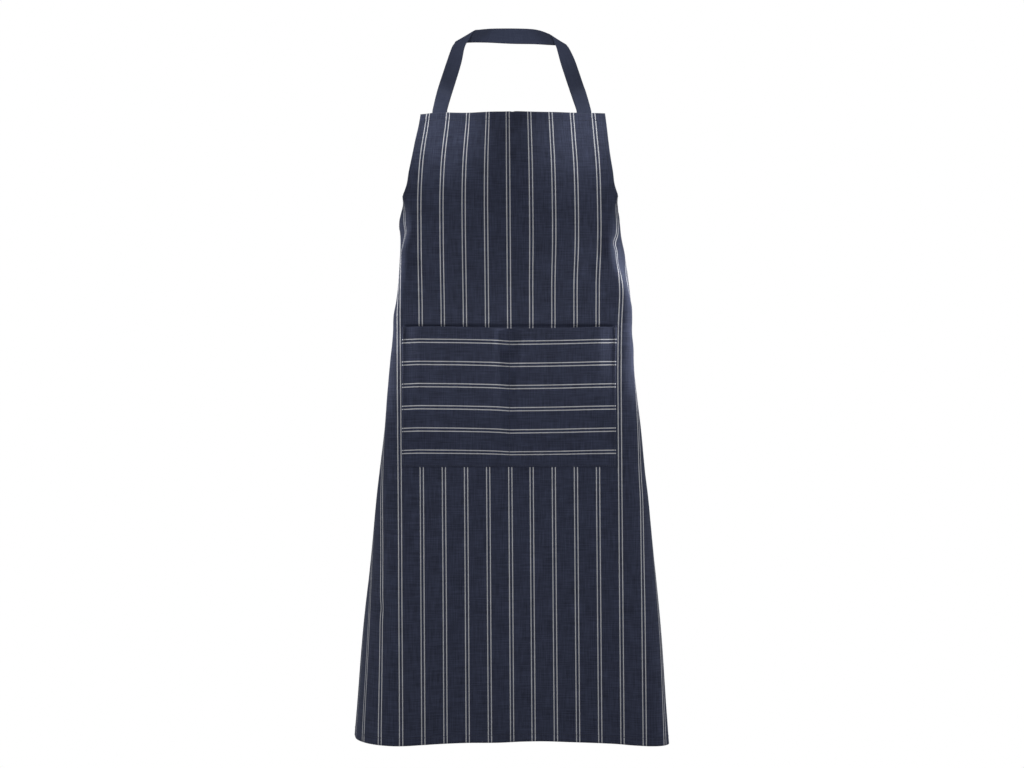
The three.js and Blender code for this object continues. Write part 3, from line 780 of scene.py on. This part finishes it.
@dataclass
class MainPanel:
    """Bib and skirt in one cut of striped cloth, with its turned hems."""

    drape: Drape
    cloth: bpy.types.Material
    thickness: float = 0.8 * MM
    columns: int = 188
    rows: int = 228
    mouth: tuple[float, float, float] = (-0.004, 0.160, 0.3288)
    mouth_depth: float = 3.4 * MM
    mouth_width: float = 2.6 * MM
    mouth_reach: float = 6 * MM
    mouth_rows: int = 15
    bib_hem: float = 0.014
    side_hem: float = 0.006
    bottom_hem: float = 0.012
    hem_thickness: float = 0.7 * MM
    hem_gap: float = 0.15 * MM

    def grid(self) -> tuple[Array, Array]:
        """Places of the panel's grid: rows crowd at the pocket's mouth, columns run from edge to edge."""
        near_mouth = self.mouth[2] + np.linspace(-self.mouth_reach, self.mouth_reach, self.mouth_rows)
        rows = np.union1d(np.linspace(0.0, self.drape.length, self.rows), near_mouth)
        share = np.linspace(0.0, 1.0, self.columns)[None, :]
        left = -self.drape.cloth_edge(rows, -1)[:, None]
        right = self.drape.cloth_edge(rows, 1)[:, None]
        across = left * (1.0 - share) + right * share
        return across, np.broadcast_to(rows[:, None], across.shape)

    def build_cloth(self) -> bpy.types.Object:
        """The panel as a closed sheet, pressed in along the pocket's mouth."""
        across, drop = self.grid()
        middle, reach, mouth = self.mouth
        inside = 1.0 - smoothstep(np.abs(across - middle), reach - self.mouth_reach, reach)
        pressed = -self.mouth_depth * bump(drop, mouth, self.mouth_width) * inside
        front = self.drape.place(across, drop, pressed + self.thickness / 2)
        back = self.drape.place(across, drop, pressed - self.thickness / 2)
        piece = sheet_piece("striped_panel", front, back, self.drape.flat(across, drop))
        dress(piece, self.cloth, "apron", "striped_cotton", "main_panel")
        return piece

    def hem(self, name: str, node: str, edge: Array, inner: Array, columns: int) -> bpy.types.Object:
        """One turned hem behind the panel.

        Args:
            name: the piece's name.
            node: the CAD node it stands for.
            edge: places (across, drop) along the panel's edge.
            inner: the matching places along the hem's inner line.
            columns: grid lines from edge to inner line.

        Returns:
            A thin layer behind the panel, rounded over at the fold and at its inner line.
        """
        t = np.linspace(0.0, 1.0, columns)[None, :, None]
        places = edge[:, None] * (1.0 - t) + inner[:, None] * t
        across, drop = places[..., 0], places[..., 1]
        near = -(self.thickness / 2 + self.hem_gap)
        ease = np.sqrt(1.0 - (1.0 - np.clip(np.minimum(t, 1 - t) / 0.12, 0, 1)) ** 2)[..., 0]
        middle = near - self.hem_thickness / 2
        half = self.hem_thickness / 2 * (0.25 + 0.75 * ease)
        front = self.drape.place(across, drop, middle + half)
        back = self.drape.place(across, drop, middle - half)
        piece = sheet_piece(name, front, back, self.drape.flat(across, drop))
        outward = np.cross(front[0, 1] - front[0, 0], front[1, 0] - front[0, 0])
        if np.dot(outward, front[0, 0] - back[0, 0]) > 0:
            piece.data.flip_normals()
        dress(piece, self.cloth, "apron", "striped_cotton", node)
        return piece

    def build_hems(self) -> list[bpy.types.Object]:
        """The bib, armhole, side and bottom hems."""
        d = self.drape
        hems = []
        share = np.linspace(0.0, 1.0, 80)
        for name, node, edge_drop, inner_drop in (
                ("bib_top", "bib_hem", 0.0, self.bib_hem),
                ("bottom", "bottom_hem", d.length, d.length - self.bottom_hem)):
            edge, inner = (np.stack([self.span(share, drop, 0.4 * MM), np.full_like(share, drop)], axis=-1)
                           for drop in (edge_drop, inner_drop))
            hems.append(self.hem(f"{name}_turned_hem", node, edge, inner, 7))
        for side, sign in (("left", -1), ("right", 1)):
            for part, low, high in (("armhole", self.bib_hem + 0.001, d.armhole_drop),
                                    ("side", d.armhole_drop + 0.0005, d.length - self.bottom_hem - 0.001)):
                drop = np.linspace(low, high, 120)
                edge, inner = self.edge_lines(drop, sign, part == "armhole")
                hems.append(self.hem(f"{side}_{part}_turned_hem", f"{part}_hem_{side}", edge, inner, 5))
        return hems

    def span(self, share: Array, drop: float, inset: float) -> Array:
        """Places across at one drop, from left edge to right edge as share goes from 0 to 1."""
        left, right = (side * (self.drape.cloth_edge(np.array(drop), side) - inset) for side in (-1, 1))
        return left * (1.0 - share) + right * share

    def edge_lines(self, drop: Array, sign: int, sloping: bool) -> tuple[Array, Array]:
        """The edge and the hem's inner line, square to the edge, along one side."""
        edge = self.drape.cloth_edge(drop, sign)
        slope = np.gradient(edge, drop) if sloping else np.zeros_like(drop)
        lean = np.hypot(1.0, slope)
        inner_across = edge - self.side_hem / lean
        inner_drop = drop + self.side_hem * slope / lean
        return (np.stack([sign * edge, drop], axis=-1), np.stack([sign * inner_across, inner_drop], axis=-1))


@dataclass
class Pocket:
    """One wide patch pocket with a stitched divider, its stripes running across."""

    drape: Drape
    cloth: bpy.types.Material
    middle: float = -0.004
    half: float = 0.161
    top: float = 0.3287
    bottom: float = 0.5395
    rim: float = 0.004
    seat: float = 1.3 * MM
    fullness: float = 4.6 * MM
    thickness: float = 0.8 * MM
    hem_depth: float = 0.022
    slip: Knots = (
        (-0.165, 0.0010), (-0.140, 0.0), (-0.123, 0.0001), (-0.063, 0.0008), (-0.018, 0.0021), (-0.004, 0.0030),
        (0.012, 0.0029), (0.072, 0.0021), (0.132, 0.0007), (0.160, 0.0003))

    def depth(self, across: Array, drop: Array) -> Array:
        """Height off the panel: seated at the side, bottom and divider seams, standing full between."""
        aside = self.half - np.abs(across - self.middle)
        below = self.bottom - drop
        divider = np.abs(across - self.middle)
        lift = smoothstep(aside, self.rim * 0.6, 0.030) * smoothstep(below, self.rim * 0.6, 0.055)
        lift = lift * (0.12 + 0.88 * smoothstep(divider, 0.0015, 0.030))
        mouth = 0.55 + 0.45 * (1.0 - smoothstep(drop, self.top, self.top + 0.11))
        return self.seat + self.fullness * lift * mouth

    def sag(self, across: Array, drop: Array) -> Array:
        """How far the cloth slips down: most beside the divider, least near the side seams."""
        inside = smoothstep(self.bottom - drop, 0.0, 0.03)
        return -through(across, self.slip) * inside

    def place(self, across: Array, drop: Array, depth: Array | float) -> Array:
        """A point on the pocket, with the cloth's slip added to its height."""
        placed = self.drape.place(across, drop, self.depth(across, drop) + depth)
        placed[..., 2] += self.sag(across, drop)
        return placed

    def flat(self, across: Array, drop: Array) -> Array:
        """Flat places: the cloth is turned so that its stripes run across, counted from the mouth."""
        return np.stack([across + FLAT_MIDDLE, drop - self.top], axis=-1)

    def build(self) -> list[bpy.types.Object]:
        """The pocket's cloth and its mouth hem."""
        s = np.linspace(-1.0, 1.0, 150)
        rows = np.linspace(self.top, self.bottom, 100)
        across, drop = np.meshgrid(self.middle + s * self.half, rows)
        front = self.place(across, drop, self.thickness)
        back = self.place(across, drop, 0.0)
        cloth = sheet_piece("divided_pocket", front, back, self.flat(across, drop))
        dress(cloth, self.cloth, "apron", "striped_cotton", "pocket_panel")
        t = np.linspace(0.0, 1.0, 8)
        inner_half = self.half - self.rim - 0.002
        across, drop = np.meshgrid(self.middle + np.linspace(-1, 1, 120) * inner_half,
                                   self.top + t * self.hem_depth)
        front = self.place(across, drop, -0.12 * MM)
        back = self.place(across, drop, -0.65 * MM)
        hem = sheet_piece("pocket_mouth_hem", front, back, self.flat(across, drop))
        dress(hem, self.cloth, "apron", "striped_cotton", "pocket_hem")
        return [cloth, hem]


@dataclass
class StitchRow:
    """One row of lockstitches, each a small bead of thread dipping into the cloth at its ends."""

    name: str
    node: str
    pitch: float = 3.2 * MM
    length: float = 2.7 * MM
    radius: float = 0.28 * MM
    sides: int = 6

    def build(self, points: Array, normals: Array, thread: bpy.types.Material) -> bpy.types.Object:
        """Makes the row.

        Args:
            points: stations on the cloth's face, closely spaced along the row.
            normals: the cloth's normal at each station.
            thread: the thread's finish.

        Returns:
            One piece with a spindle for each stitch: rings of radius r sin(pi t) raised on the cloth.
        """
        travelled = np.concatenate([[0.0], np.cumsum(np.linalg.norm(np.diff(points, axis=0), axis=1))])
        count = max(int((travelled[-1] - self.length) / self.pitch), 1)
        starts = self.length / 2 + np.arange(count) * (travelled[-1] - self.length) / count
        t = np.array([-0.5, -0.36, 0.0, 0.36, 0.5])
        swell = np.array([0.35, 0.85, 1.0, 0.85, 0.35])
        at = starts[:, None] + t[None] * self.length
        middle = np.stack([np.interp(at, travelled, points[:, k]) for k in range(3)], axis=-1)
        out = unit(np.stack([np.interp(at, travelled, normals[:, k]) for k in range(3)], axis=-1))
        along = unit(middle[:, -1:] - middle[:, :1])
        aside = unit(np.cross(along, out))
        out = np.cross(aside, along)
        angle = np.linspace(0.0, 2 * np.pi, self.sides, endpoint=False)
        ring = (np.cos(angle)[:, None] * aside[:, :, None] + np.sin(angle)[:, None] * out[:, :, None])
        sunk = middle + out * (self.radius * (0.15 + 0.75 * (swell - 0.35)))[None, :, None]
        corners = sunk[:, :, None] + ring * (self.radius * swell)[None, :, None, None]
        per = len(t) * self.sides
        number = np.arange(per).reshape(len(t), self.sides)
        a, b = number[:-1], number[1:]
        quads = np.stack([np.roll(a, -1, 1), np.roll(b, -1, 1), b, a], axis=-1).reshape(-1, 4)
        caps = np.stack([number[0, ::-1], number[-1]])
        first = per * np.arange(count)[:, None, None]
        faces = (first + quads).reshape(-1, 4).tolist() + (first + caps).reshape(-1, self.sides).tolist()
        piece = new_piece(self.name, corners.reshape(-1, 3), faces)
        dress(piece, thread, "apron", "sewing_thread", self.node)
        return piece


@dataclass
class Stitching:
    """Every seam's thread on the panel, the pocket and the tie ends."""

    panel: MainPanel
    pocket: Pocket
    thread: bpy.types.Material
    pocket_inset: float = 2.2 * MM
    bartack_turns: int = 11
    bartack_length: float = 9 * MM
    tie_box: tuple[float, float] = (9 * MM, 7.5 * MM)
    tie_box_inset: float = 17 * MM
    tie_drop: float = 0.282
    pieces: list[bpy.types.Object] = field(default_factory=list)

    def on_panel(self, name: str, node: str, across: Array, drop: Array) -> None:
        """A row on the panel's front through the given places."""
        point, normal, _, _ = self.panel.drape.frames(across, drop)
        face = point + normal * self.panel.thickness / 2
        self.pieces.append(StitchRow(name, node).build(face, normal, self.thread))

    def on_pocket(self, name: str, node: str, across: Array, drop: Array, pitch: float = 3.2 * MM) -> None:
        """A row on the pocket's front through the given places."""
        face = self.pocket.place(across, drop, self.pocket.thickness)
        _, normal, _, _ = self.panel.drape.frames(across, drop)
        self.pieces.append(StitchRow(name, node, pitch=pitch).build(face, normal, self.thread))

    def build(self) -> list[bpy.types.Object]:
        """All rows, in the order a machinist would sew them."""
        d, p = self.panel.drape, self.panel
        # Each row runs about 1 mm inside its hem's inner line and stops short of the rows it would cross
        share = np.linspace(0.0, 1.0, 400)
        for name, node, drop in (("bib_hem_stitches", "bib_hem_stitching", p.bib_hem - 0.001),
                                 ("bottom_hem_stitches", "bottom_hem_stitching", d.length - p.bottom_hem + 0.001)):
            across = p.span(share, drop, 0.002)
            self.on_panel(name, node, across, np.full_like(across, drop))
        for side, sign in (("left", -1), ("right", 1)):
            for part, low, high in (("armhole", p.bib_hem + 0.004, d.armhole_drop - 0.001),
                                    ("side_hem", d.armhole_drop + 0.003, d.length - p.bottom_hem - 0.003)):
                drop = np.linspace(low, high, 300)
                _, inner = p.edge_lines(drop, sign, part == "armhole")
                self.on_panel(f"{side}_{part}_stitches", f"{part}_stitching_{side}",
                              inner[:, 0] + sign * 0.8 * MM, inner[:, 1])
        self.build_pocket_rows()
        self.build_tie_boxes()
        return self.pieces

    def build_pocket_rows(self) -> None:
        """The mouth hem's row, the three-sided edge row, the divider and the corner bartacks."""
        q = self.pocket
        x = q.middle + np.linspace(-1, 1, 300) * (q.half - 0.001)
        hem_drop = np.full_like(x, q.top + q.hem_depth - 0.002)
        self.on_pocket("pocket_hem_stitches", "pocket_hem_stitching", x, hem_drop)
        inset = q.half - self.pocket_inset
        low = q.bottom - self.pocket_inset
        down = np.linspace(q.top + 0.001, low, 160)
        under = np.linspace(-inset, inset, 240)
        edge_x = np.concatenate([np.full_like(down, -inset), under, np.full_like(down, inset)]) + q.middle
        edge_d = np.concatenate([down, np.full_like(under, low), down[::-1]])
        self.on_pocket("pocket_edge_stitches", "pocket_edge_stitching", edge_x, edge_d)
        self.on_pocket("pocket_divider_stitches", "pocket_divider_stitching", np.full_like(down, q.middle), down)
        zig = np.linspace(0.0, 1.0, 120)
        wave = 1.1 * MM * (2 / np.pi) * np.arcsin(np.sin(zig * 2 * np.pi * self.bartack_turns))
        tack_drop = q.top + 0.001 + zig * self.bartack_length
        for side, sign in (("left", -1), ("right", 1)):
            across = q.middle + sign * (inset - 0.0012) + wave
            self.on_pocket(f"{side}_pocket_bartack", f"pocket_bartack_{side}", across, tack_drop, 2.2 * MM)

    def build_tie_boxes(self) -> None:
        """The square of stitching with a cross that holds each waist tie."""
        d = self.panel.drape
        w, h = self.tie_box
        route = np.array([[-w, -h], [w, -h], [w, h], [-w, h], [-w, -h], [w, h], [w, -h], [-w, h]])
        t = np.linspace(0, len(route) - 1, 400)
        x = np.interp(t, np.arange(len(route)), route[:, 0])
        z = np.interp(t, np.arange(len(route)), route[:, 1])
        for side, sign in (("left", -1), ("right", 1)):
            self.on_panel(f"{side}_waist_tie_stitches", f"waist_tie_stitching_{side}",
                          sign * (d.cloth_half - self.tie_box_inset) + x, self.tie_drop + z)


@dataclass
class NeckStrap:
    """The plain tape that goes up from behind the bib and round the back of the neck."""

    drape: Drape
    tape: bpy.types.Material
    across: tuple[float, float] = (-0.1199, 0.1119)
    width: float = 22.6 * MM
    thickness: float = 0.9 * MM
    sewn: float = 0.012
    depth: float = -1.9 * MM
    rise: float = 7 * MM
    stations: int = 300
    left_edges: Sequence[Any] = (
        ((-0.1155, -0.1285, -0.1126), (-0.0937, -0.1315, -0.1201)),
        ((-0.1119, -0.1085, -0.0944), (-0.0897, -0.112, -0.1021)),
        ((-0.1006, -0.0805, -0.0524), (-0.0791, -0.0825, -0.0593)),
        ((-0.094, -0.068, -0.0308), (-0.0737, -0.0665, -0.0296)),
        ((-0.09, -0.064, -0.0235), (-0.0669, -0.058, -0.0155)),
        ((-0.0876, -0.061, -0.0201), (-0.0597, -0.048, -0.0008)),
        ((-0.0771, -0.044, -0.0188), (-0.0513, -0.036, 0.0034)),
        ((-0.0586, -0.025, -0.0147), (-0.0404, -0.024, 0.0069)),
        ((-0.0351, -0.01, -0.0124), (-0.0287, -0.01, 0.0104)),
    )
    right_edges: Sequence[Any] = (
        ((0.1138, -0.1285, -0.1126), (0.0919, -0.1315, -0.1201)),
        ((0.1094, -0.1085, -0.0944), (0.0874, -0.112, -0.1018)),
        ((0.0982, -0.0805, -0.054), (0.0764, -0.0825, -0.0606)),
        ((0.0899, -0.068, -0.0333), (0.0698, -0.0665, -0.0321)),
        ((0.0869, -0.064, -0.0281), (0.0661, -0.058, -0.0205)),
        ((0.0839, -0.061, -0.0247), (0.0619, -0.048, -0.0082)),
        ((0.074, -0.044, -0.0229), (0.0537, -0.036, -0.0013)),
        ((0.0579, -0.025, -0.0187), (0.0428, -0.024, 0.0048)),
        ((0.0351, -0.01, -0.0147), (0.0287, -0.01, 0.0098)),
    )
    nape_edges: Sequence[Sequence[float]] = ((0.0, 0.0004, -0.0121), (0.0, 0.0004, 0.0126))

    def leg(self, side: int) -> list[Array]:
        """Both edges of one leg, from its sewn end to near the nape.

        Args:
            side: -1 for the left leg or 1 for the right.

        Returns:
            Pairs of places: the outer edge, which is the lower one behind the neck, and the inner edge.
            Where the tape folds over, the pairs lie along the fold.
        """
        at = np.array([self.across[(side + 1) // 2]])
        pairs = []
        for drop, rise in ((self.sewn, 0.0), (0.0005, 0.0), (0.0005, self.rise)):
            point, normal, right, up = self.drape.frames(at, np.array([drop]))
            middle = (point + normal * self.depth + up * rise)[0]
            reach = side * right[0] * self.width / 2
            pairs.append(np.stack([middle + reach, middle - reach]))
        return pairs + [np.array(pair) for pair in (self.left_edges if side < 0 else self.right_edges)]

    def build(self) -> bpy.types.Object:
        """One tape through both legs, folded over at each side of the neck and bent where it leaves the bib's top
        edge.
        """
        pairs = self.leg(-1) + [np.array(self.nape_edges)] + self.leg(1)[::-1]
        route = ruled_route(np.array(pairs), self.width, self.stations)
        piece = carried_profile("neck_strap_tape", route, tape_profile(self.width, self.thickness),
                                np.ones(self.stations))
        piece.data.materials.append(self.tape)
        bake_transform(piece)
        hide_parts("neck_strap", "strap_end_left", "strap_end_right")
        return piece


@dataclass
class WaistTies:
    """The two tapes sewn inside the panel's side corners and drawn round to the middle of the back."""

    drape: Drape
    tape: bpy.types.Material
    drop: float = 0.282
    sewn: float = 0.028
    width: float = 22 * MM
    thickness: float = 0.9 * MM
    back_y: float = 0.008
    depth: float = 2.2 * MM
    stations: int = 70

    def build(self) -> list[bpy.types.Object]:
        """Left and right ties, flat inside the flank, then free across the back."""
        ties = []
        for side, sign in (("left", -1), ("right", 1)):
            inside = np.array([self.sewn, self.sewn / 2, 0.0])
            point, normal, _, up = self.drape.frames(sign * (self.drape.cloth_half - inside),
                                                     np.full(3, self.drop))
            sewn = point - normal * self.depth
            free = np.array([[sign * 0.080, self.back_y - 0.003, -0.4228],
                             [sign * 0.042, self.back_y - 0.0005, -0.4236],
                             [sign * 0.004, self.back_y + 0.001, -0.4230]])
            across = np.concatenate([up, [[0, 0, 1.0], [0, 0.06, 1.0], [0, 0.0, 1.0]]])
            route = smooth_route(np.concatenate([sewn, free]), across, self.stations)
            t = np.linspace(0, 1, self.stations)
            widths = 1.0 - 0.35 * smoothstep(t, 0.78, 1.0)
            tie = carried_profile(f"{side}_waist_tie_tape", route, tape_profile(self.width, self.thickness),
                                  widths)
            dress(tie, self.tape, "apron", "cotton_tape", f"waist_tie_{side}")
            ties.append(tie)
        return ties


@dataclass
class Bow:
    """Knot, loops and tails, all of the ties' own tape."""

    tape: bpy.types.Material
    knot: Vector = field(default_factory=lambda: Vector((0.0, 0.0200, -0.423)))
    width: float = 22 * MM
    thickness: float = 0.9 * MM
    droop: float = math.radians(27)
    knot_half: tuple[float, float, float] = (12.5 * MM, 9.6 * MM, 12.2 * MM)
    loop_stations: int = 120
    tail_stations: int = 140
    narrowest: float = 0.34
    loop_route: Sequence[tuple[float, float]] = ((10, 1.5), (22, 3.2), (42, 6.5), (72, 7.2), (94, 4.6), (101, 0.0))
    tail_route: Sequence[tuple[float, float, float]] = (
        (3, 10.5, 0), (6, 19, 0.4), (12, 48, 1.2), (17, 120, -1.2), (21, 210, 1.0), (24, 310, -0.8), (25, 400, 0.0))

    def build_knot(self) -> bpy.types.Object:
        """The knot: one barrel of tape with two winding creases, barrel = sqrt(1 - (0.82 s) squared)."""
        turns = np.linspace(0.0, 2 * np.pi, 72, endpoint=False)
        along = np.linspace(-1.0, 1.0, 25)
        t, s = np.meshgrid(turns, along, indexing="ij")
        barrel = np.sqrt(np.clip(1.0 - (0.82 * s) ** 2, 0.0, 1.0))
        crease = (1.0 - 0.055 * bump(s, 0.30 + 0.14 * np.sin(t), 0.07)
                  - 0.05 * bump(s, -0.34 + 0.12 * np.cos(t), 0.06))
        square = 1.0 + 0.07 * np.cos(4 * t)
        half_x, half_y, half_z = self.knot_half
        x = half_x * s * (1.0 + 0.04 * np.sin(3 * t))
        y = half_y * barrel * crease * square * np.cos(t)
        z = half_z * barrel * crease * square * np.sin(t)
        points = np.stack([x, y, z], axis=-1) + np.array(self.knot)
        n, m = points.shape[:2]
        number = np.arange(n * m).reshape(n, m)
        a, b = number, np.roll(number, -1, 0)
        quads = np.stack([a[:, :-1], a[:, 1:], b[:, 1:], b[:, :-1]], axis=-1).reshape(-1, 4)
        caps = [number[:, 0].tolist(), number[::-1, -1].tolist()]
        flat = np.stack([FLAT_MIDDLE + s * self.width / 2, t * self.width / 2], axis=-1)
        piece = new_piece("bow_knot_tape", points.reshape(-1, 3), quads.tolist() + caps, flat.reshape(-1, 2))
        dress(piece, self.tape, "apron", "cotton_tape", "bow_knot")
        return piece

    def build(self) -> list[bpy.types.Object]:
        """The knot, then each side's loop and tail."""
        pieces = [self.build_knot()]
        centre = np.array(self.knot)
        section = tape_profile(self.width, self.thickness)
        for side, sign in (("left", -1), ("right", 1)):
            out = np.array([sign * math.cos(self.droop), 0.0, -math.sin(self.droop)])
            across = np.array([sign * math.sin(self.droop), 0.0, math.cos(self.droop)])
            there = [centre + out * r * MM + np.array([0.0, y * MM, 0.0]) for r, y in self.loop_route]
            back = [centre + out * r * MM - np.array([0.0, y * MM, 0.0]) for r, y in self.loop_route[-2::-1]]
            route = smooth_route(there + back, [across] * (len(there) + len(back)), self.loop_stations)
            t = np.linspace(0, 1, self.loop_stations)
            widths = self.narrowest + (1 - self.narrowest) * smoothstep(np.minimum(t, 1 - t), 0.02, 0.24)
            loop = carried_profile(f"{side}_bow_loop_tape", route, section, widths)
            dress(loop, self.tape, f"{side}_bow_loop", "cotton_tape", f"bow_loop_{side}")
            points = [centre + np.array([sign * x, y, -down]) * MM for x, down, y in self.tail_route]
            route = smooth_route(points, [np.array([1.0, 0.0, 0.0])] * len(points), self.tail_stations)
            t = np.linspace(0, 1, self.tail_stations)
            widths = self.narrowest + (1 - self.narrowest) * smoothstep(t, 0.0, 0.17)
            tail = carried_profile(f"{side}_tie_tail_tape", route, section, widths)
            dress(tail, self.tape, f"{side}_tail", "cotton_tape", f"tie_tail_{side}")
            pieces += [loop, tail]
        return pieces


def dress(piece: bpy.types.Object, material: bpy.types.Material, body: str, slot: str, *nodes: str) -> None:
    """Gives a piece its finish and its body, and hides the CAD nodes it stands for."""
    piece.data.materials.append(material)
    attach(piece, body)
    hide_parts(*nodes)


def declare_sheets(panel: MainPanel) -> None:
    """Works out the panel's length down the cloth and its flat area, and does nothing further with them."""
    drape = panel.drape
    down = float(drape.cloth_down(np.array(drape.length)))
    drops = np.linspace(0.0, drape.length, 400)
    area = float(np.trapz(drape.cloth_edge(drops, -1) + drape.cloth_edge(drops, 1), drape.cloth_down(drops)))


def main() -> None:
    """Builds the apron piece by piece."""
    logging.basicConfig(level=logging.INFO, format="%(message)s")
    bpy.context.scene.view_settings.view_transform = "Standard"
    studio = Studio()
    studio.place_camera()
    drape = Drape()
    panel_cloth = WovenCotton("yarn_dyed_pinstripe_cotton", NAVY, NAVY_LIGHT).make()
    pocket_cloth = WovenCotton("yarn_dyed_pinstripe_cotton_turned", NAVY, NAVY_LIGHT, run=StripeRun.ACROSS,
                               stripe_shift=4.9 * MM, stripe_drift=0.0).make()
    tape_cloth = WovenCotton("woven_cotton_tape", "#30364a", "#3e4459", run=None, thread=0.8 * MM).make()
    thread = SpunThread("spun_sewing_thread", "#262a3a").make()

    panel = MainPanel(drape, panel_cloth)
    cloth = panel.build_cloth()
    hems = panel.build_hems()
    pocket = Pocket(drape, pocket_cloth)
    pocket_pieces = pocket.build()
    stitches = Stitching(panel, pocket, thread).build()
    strap = NeckStrap(drape, tape_cloth).build()
    ties = WaistTies(drape, tape_cloth).build()
    bow = Bow(tape_cloth).build()
    declare_sheets(panel)
    for piece in [cloth, *hems, *pocket_pieces, *stitches, strap, *ties, *bow]:
        LOG.info("%s: %d faces", piece.name, len(piece.data.polygons))
    studio.build()


if __name__ == "__main__":
    main()
